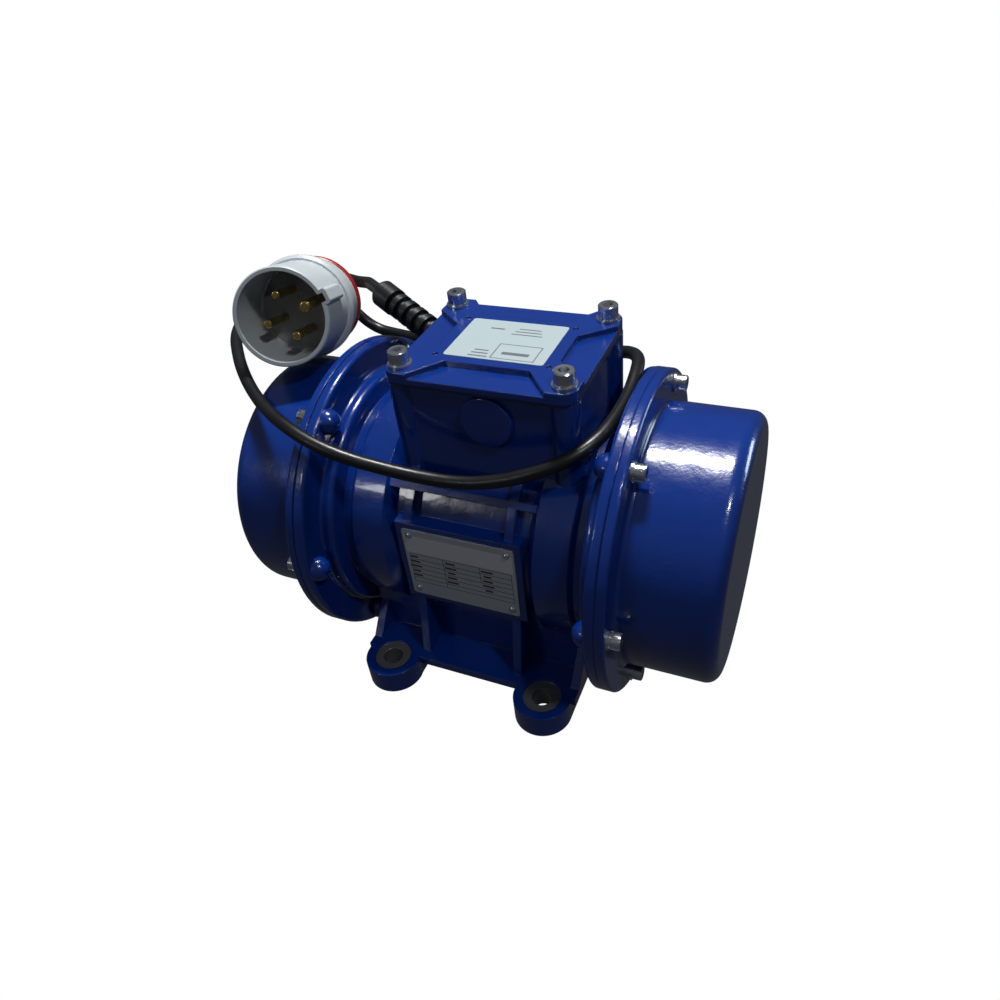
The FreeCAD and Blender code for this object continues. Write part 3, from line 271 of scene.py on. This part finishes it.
def socket_screw(head_r, head, shank_r, shank, socket_r):
    """One screw, standing on z = 0 with its head up and its shank below."""
    rim, groove_wall, groove_depth = 0.0006, 0.0001, 0.00022
    bpy.ops.object.select_all(action="DESELECT")
    bpy.ops.mesh.primitive_cylinder_add(vertices=64, radius=head_r, depth=head - rim,
                                        location=(0, 0, (head - rim) / 2))
    screw = bpy.context.object
    bpy.ops.object.transform_apply(location=True, rotation=True, scale=True)
    mesh = screw.data

    def pick(wanted):
        bpy.ops.object.mode_set(mode="EDIT")
        bpy.ops.mesh.select_mode(type="FACE")
        bpy.ops.mesh.select_all(action="DESELECT")
        bpy.ops.object.mode_set(mode="OBJECT")
        for face in mesh.polygons:
            face.select = wanted(face)
        bpy.ops.object.mode_set(mode="EDIT")

    pick(lambda f: f.normal.z < -0.9)
    bpy.ops.mesh.inset(thickness=head_r - shank_r, depth=0)
    bpy.ops.mesh.extrude_region_move(TRANSFORM_OT_translate={"value": (0, 0, -shank)})
    pick(lambda f: f.normal.z > 0.9)
    bpy.ops.mesh.extrude_region_move(TRANSFORM_OT_translate={"value": (0, 0, rim)})
    bpy.ops.transform.resize(value=(1 - rim / head_r, 1 - rim / head_r, 1), center_override=(0, 0, head))
    bpy.ops.object.mode_set(mode="OBJECT")
    around = [f for f in mesh.polygons if abs(f.normal.z) < 0.1 and f.center.z > 0.1 * head]
    around.sort(key=lambda f: math.atan2(f.center.y, f.center.x))
    grooves = {f.index for f in around[::2]}
    pick(lambda f: f.index in grooves)
    bpy.ops.mesh.inset(thickness=groove_wall, depth=-groove_depth, use_individual=True)
    bpy.ops.object.mode_set(mode="OBJECT")
    bpy.ops.object.select_all(action="DESELECT")
    bpy.ops.mesh.primitive_cylinder_add(vertices=6, radius=socket_r, depth=1.1 * head, location=(0, 0, head))
    key = bpy.context.object
    bpy.context.view_layer.objects.active = screw
    cut = screw.modifiers.new("socket", "BOOLEAN")
    cut.object = key
    bpy.ops.object.modifier_apply(modifier=cut.name)
    bpy.data.objects.remove(key)
    screw.select_set(True)
    bpy.ops.object.shade_smooth_by_angle(angle=math.radians(25))
    return screw


scene = bpy.context.scene


def place_screws(name, model, places):
    """One copy of the screw, with its own mesh, at each place, joined as one piece of the frame."""
    copies = []
    for matrix in places:
        copy = model.copy()
        copy.data = model.data.copy()
        copy.data.transform(matrix)
        scene.collection.objects.link(copy)
        copies.append(copy)
    bpy.data.objects.remove(model)
    bpy.ops.object.select_all(action="DESELECT")
    for copy in copies:
        copy.select_set(True)
    bpy.context.view_layer.objects.active = copies[0]
    bpy.ops.object.join()
    piece = bpy.context.object
    piece.name = name + "_knurled"
    piece.data.materials.clear()
    piece.data.materials.append(zinc)
    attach(piece, "frame")
    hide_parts(name)


shank_r = 0.003
low, high = (Vector(corner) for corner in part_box("lid_screws"))
head_r, head, shank, socket_r = 0.0062, 0.0082, 0.024, 0.0034
corners = [(x, y) for x in (low.x + head_r, high.x - head_r) for y in (low.y + head_r, high.y - head_r)]
first_turn, turn_step = 0.4, 1.3
place_screws("lid_screws", socket_screw(head_r, head, shank_r, shank, socket_r), [
    Matrix.Translation((x, y, high.z - head)) @ Matrix.Rotation(first_turn + turn_step * i, 4, "Z")
    for i, (x, y) in enumerate(corners)])

low, high = (Vector(corner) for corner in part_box("cover_screws"))
head_r, head, shank, socket_r = 0.0052, 0.0066, 0.0136, 0.0029
circle_r, per_side, turn_step = 0.098, 6, 0.7
shaft_z = next(j["pos_m"][2] for j in frame["joints"] if j["name"] == "rotor_spin")
ends = []
for side, head_base in ((1, high.x - head), (-1, low.x + head)):
    for i in range(per_side):
        angle = math.radians(360 / per_side * i)
        where = (head_base, circle_r * math.cos(angle), shaft_z + circle_r * math.sin(angle))
        ends.append(Matrix.Translation(where) @ Matrix.Rotation(side * math.pi / 2, 4, "Y")
                    @ Matrix.Rotation(turn_step * i + side, 4, "Z"))
place_screws("cover_screws", socket_screw(head_r, head, shank_r, shank, socket_r), ends)

# ---- label on the lid ---------------------------------------------------------------------------------
# White printed film, stuck on the lid. It carries a framed box and a few rules, and no words.

label_film = new_material("label_film", (0.72, 0.78, 0.77), metallic=0.0, roughness=0.35,
                          waves=0.05, wave_size=60.0, peel=0.03, peel_size=900.0)


def add_rules(tree, surface, across, along, base, ink, boxes):
    """Draw boxes on a flat piece, each (across, along, half width, half height, line width, filled)."""
    colour = base
    for mid_across, mid_along, half_across, half_along, width, filled in boxes:
        off_across = math_node(tree, "ABSOLUTE", math_node(tree, "SUBTRACT", across, mid_across))
        off_along = math_node(tree, "ABSOLUTE", math_node(tree, "SUBTRACT", along, mid_along))
        outside = math_node(tree, "MAXIMUM", math_node(tree, "SUBTRACT", off_across, half_across),
                            math_node(tree, "SUBTRACT", off_along, half_along))
        shade = ramp(tree, outside, width, width * 0.5)
        if not filled:
            shade = math_node(tree, "MULTIPLY", shade, ramp(tree, outside, -width, -width * 0.5))
        colour = mix_colour(tree, shade, colour, ink)
    tree.links.new(colour, surface.inputs["Base Color"])
    return colour


tree, surface = nodes_of(label_film)
_, (x, y, z) = place(tree)
rule_pitch, edge_blur = 0.0035, 0.0002
rules = [(0.026, -0.0105, 0.0135, 0.0085, 0.0005, False), (0.026, -0.0125, 0.0085, 0.0014, edge_blur, True)]
rules += [(0.004, -0.0185 + rule_pitch * i, 0.006 - 0.0008 * i, 0.0005, edge_blur, True) for i in range(3)]
rules += [(0.024, 0.011 + rule_pitch * i, 0.010 - 0.0015 * i, 0.0004, edge_blur, True) for i in range(3)]
rules += [(0.003, 0.016, 0.0045, 0.0006, edge_blur, True)]
add_rules(tree, surface, x, y, (0.40, 0.48, 0.50), (0.13, 0.15, 0.16), rules)
dress(label_film, "lid_label")

# ---- rating plate -------------------------------------------------------------------------------------
# Thin brushed metal held by four rivets. A light band runs along its top over a ruled table with short
# dashes in its cells, and no words.

plate_metal = new_material("plate_metal", (0.42, 0.43, 0.44), metallic=0.6, roughness=0.42,
                           waves=0.1, wave_size=60.0, peel=0.15, peel_size=1500.0)
tree, surface = nodes_of(plate_metal)
_, (x, y, z) = place(tree)
plate_low, plate_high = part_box("rating_plate")
mid_z = (plate_low[2] + plate_high[2]) / 2
band = [(0.0, mid_z + 0.0165, 0.0375, 0.0072, 0.0002, True)]
light_band = add_rules(tree, surface, x, z, (0.56, 0.60, 0.63), (0.80, 0.82, 0.84), band)
row_pitch, column_pitch, line_half = 0.0042, 0.026, 0.00012
table_z, table_half_x, table_half_z = mid_z - 0.0045, 0.036, 0.0125
rules = [(0.0, table_z, table_half_x, table_half_z, 0.00025, False)]
rules += [(0.0, mid_z + 0.0035 - row_pitch * i, table_half_x, line_half, line_half, True) for i in range(5)]
rules += [(-0.012, table_z, line_half, table_half_z, line_half, True),
          (0.014, mid_z + 0.0012, line_half, 0.0062, line_half, True)]
rules += [(-0.033 + column_pitch * i, mid_z + 0.0056 - row_pitch * j, 0.0026 + 0.0007 * ((i + j) % 3),
           0.0006, 0.0002, True) for i in range(3) for j in range(5)]
add_rules(tree, surface, x, z, light_band, (0.05, 0.05, 0.055), rules)
dress(plate_metal, "rating_plate")

# ---- strain relief and lead ---------------------------------------------------------------------------
# Black rubber. The ribbed boot sits in the box wall and grips the lead. The lead loops behind the plug,
# lies round the front of the box and comes back behind it to the plug's end cap.

black_rubber = new_material("black_rubber", (0.007, 0.007, 0.008), metallic=0.0, roughness=0.36,
                            waves=0.15, wave_size=150.0, peel=0.15, peel_size=900.0)
dress(black_rubber, "strain_relief", "cord")

cord_r = 0.00425
route = [
    (-0.0944, 0.0522, 0.2210), (-0.1164, 0.0620, 0.2274), (-0.1310, 0.0800, 0.2190),
    (-0.1490, 0.0930, 0.2125), (-0.1690, 0.1020, 0.2110), (-0.1910, 0.1030, 0.2090),
    (-0.2120, 0.0950, 0.2040), (-0.2260, 0.0780, 0.1990), (-0.2300, 0.0550, 0.1970),
    (-0.2240, 0.0330, 0.1960), (-0.2110, 0.0140, 0.1970), (-0.1960, -0.0030, 0.1980),
    (-0.1800, -0.0200, 0.1970), (-0.1600, -0.0380, 0.1950), (-0.1370, -0.0550, 0.1930),
    (-0.1090, -0.0710, 0.1930), (-0.0855, -0.0775, 0.1880), (-0.0630, -0.0770, 0.1810),
    (-0.0420, -0.0720, 0.1740), (-0.0190, -0.0680, 0.1690), (0.0060, -0.0660, 0.1680),
    (0.0300, -0.0650, 0.1730), (0.0520, -0.0620, 0.1810), (0.0720, -0.0540, 0.1890),
    (0.0845, -0.0360, 0.1940), (0.0873, -0.0120, 0.1950), (0.0873, 0.0120, 0.1945),
    (0.0860, 0.0340, 0.1970), (0.0820, 0.0560, 0.1955), (0.0700, 0.0720, 0.1900),
    (0.0490, 0.0760, 0.1830), (0.0240, 0.0770, 0.1770), (-0.0030, 0.0780, 0.1730),
    (-0.0310, 0.0810, 0.1720), (-0.0580, 0.0870, 0.1700), (-0.0830, 0.0980, 0.1670),
    (-0.1090, 0.1090, 0.1600), (-0.1360, 0.1190, 0.1560), (-0.1630, 0.1210, 0.1580),
    (-0.1790, 0.1155, 0.1800), (-0.1768, 0.0933, 0.1984), (-0.1697, 0.0737, 0.2052),
]
lead_curve = bpy.data.curves.new("lead", "CURVE")
lead_curve.dimensions = "3D"
lead_curve.bevel_depth = cord_r
lead_curve.bevel_resolution = 6
lead_curve.resolution_u = 8
lead_curve.use_fill_caps = True
line = lead_curve.splines.new("NURBS")
line.points.add(len(route) - 1)
for point, where in zip(line.points, route):
    point.co = (*where, 1.0)
line.order_u = 3
line.use_endpoint_u = True
lead = bpy.data.objects.new("lead", lead_curve)
scene.collection.objects.link(lead)
lead_curve.materials.append(black_rubber)
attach(lead, "frame")
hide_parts("cord")

# ---- plug ---------------------------------------------------------------------------------------------
# Moulded plastic: grey shroud, body and end cap, a red ring between them, and a darker insert that holds
# four turned brass pins, the earth pin being the thickest.

plug_grey = new_material("plug_grey", (0.52, 0.57, 0.59), metallic=0.0, roughness=0.42,
                         waves=0.1, wave_size=90.0, peel=0.15, peel_size=1100.0)
dress(plug_grey, "plug_shroud", "plug_body", "plug_cap")
plug_red = new_material("plug_red", (0.35, 0.012, 0.012), metallic=0.0, roughness=0.35,
                        waves=0.1, wave_size=90.0, peel=0.1, peel_size=1100.0)
dress(plug_red, "plug_ring")
insert_grey = new_material("insert_grey", (0.32, 0.32, 0.30), metallic=0.0, roughness=0.55,
                           waves=0.1, wave_size=90.0, peel=0.2, peel_size=900.0)
dress(insert_grey, "plug_insert")
dress(brass, "plug_earth_pin", "plug_phase_pins")

# ---- camera -------------------------------------------------------------------------------------------
# It stands above the front right corner and is tilted a little.

camera_data = bpy.data.cameras.new("camera")
camera_data.lens = 28.73
camera_data.clip_start = 0.01
camera = bpy.data.objects.new("camera", camera_data)
scene.collection.objects.link(camera)
right = Vector((0.9163, 0.3881, -0.0987)).normalized()
up = Vector((-0.1726, 0.6051, 0.7772)).normalized()
camera.matrix_world = Matrix((right, up, right.cross(up))).transposed().to_4x4()
camera.location = (0.20115, -0.39164, 0.45205)
scene.camera = camera

# ---- surround and lamps -------------------------------------------------------------------------------
# The surround is white to the camera and through clear pieces. Light and reflections get a dim room, paler
# towards its ceiling, and reflections a small share of the white: gloss enamel turns pale with all of it.

world = bpy.data.worlds.new("surround")
scene.world = world
world.use_nodes = True
tree = world.node_tree
rays = tree.nodes.new("ShaderNodeLightPath")
split = tree.nodes.new("ShaderNodeSeparateXYZ")
tree.links.new(tree.nodes.new("ShaderNodeTexCoord").outputs["Generated"], split.inputs[0])
upwards = ramp(tree, split.outputs[2], -0.1, 0.7)
white, glossy_share = (1.0, 1.0, 1.0), 0.04
room = mix_colour(tree, upwards, (0.010, 0.012, 0.018), (0.075, 0.088, 0.11))
room = mix_colour(tree, math_node(tree, "MULTIPLY", rays.outputs["Is Glossy Ray"], glossy_share), room, white)
seen_white = math_node(tree, "MAXIMUM", rays.outputs["Is Camera Ray"], rays.outputs["Is Transmission Ray"])
tree.links.new(mix_colour(tree, seen_white, room, white), tree.nodes["Background"].inputs["Color"])

centre = (cad_box[0] + cad_box[1]) / 2


def lamp(name, stand, width, depth, power, colour=(1, 1, 1), diffuse=True):
    """Lamp that points at the motor's middle and isn't seen by the camera."""
    data = bpy.data.lights.new(name, "AREA")
    data.shape = "RECTANGLE"
    data.size = width
    data.size_y = depth
    data.energy = power
    data.color = colour
    light = bpy.data.objects.new(name, data)
    scene.collection.objects.link(light)
    light.location = stand
    light.rotation_euler = (centre - Vector(stand)).to_track_quat("-Z", "Y").to_euler()
    light.visible_camera = False
    light.visible_diffuse = diffuse


lamp("ceiling", (-0.1, 0.45, 1.7), 0.30, 0.10, 30.0)
lamp("strip_right", (0.75, -0.35, 1.3), 0.14, 0.05, 4.0)
lamp("front", (-0.9, -1.4, 1.0), 0.2, 0.2, 1.6)
lamp("pale_wall", (2.2, 1.9, 0.55), 1.0, 0.8, 26.0, colour=(0.72, 0.86, 1.0), diffuse=False)

scene.view_settings.view_transform = "Standard"
scene.render.film_transparent = False
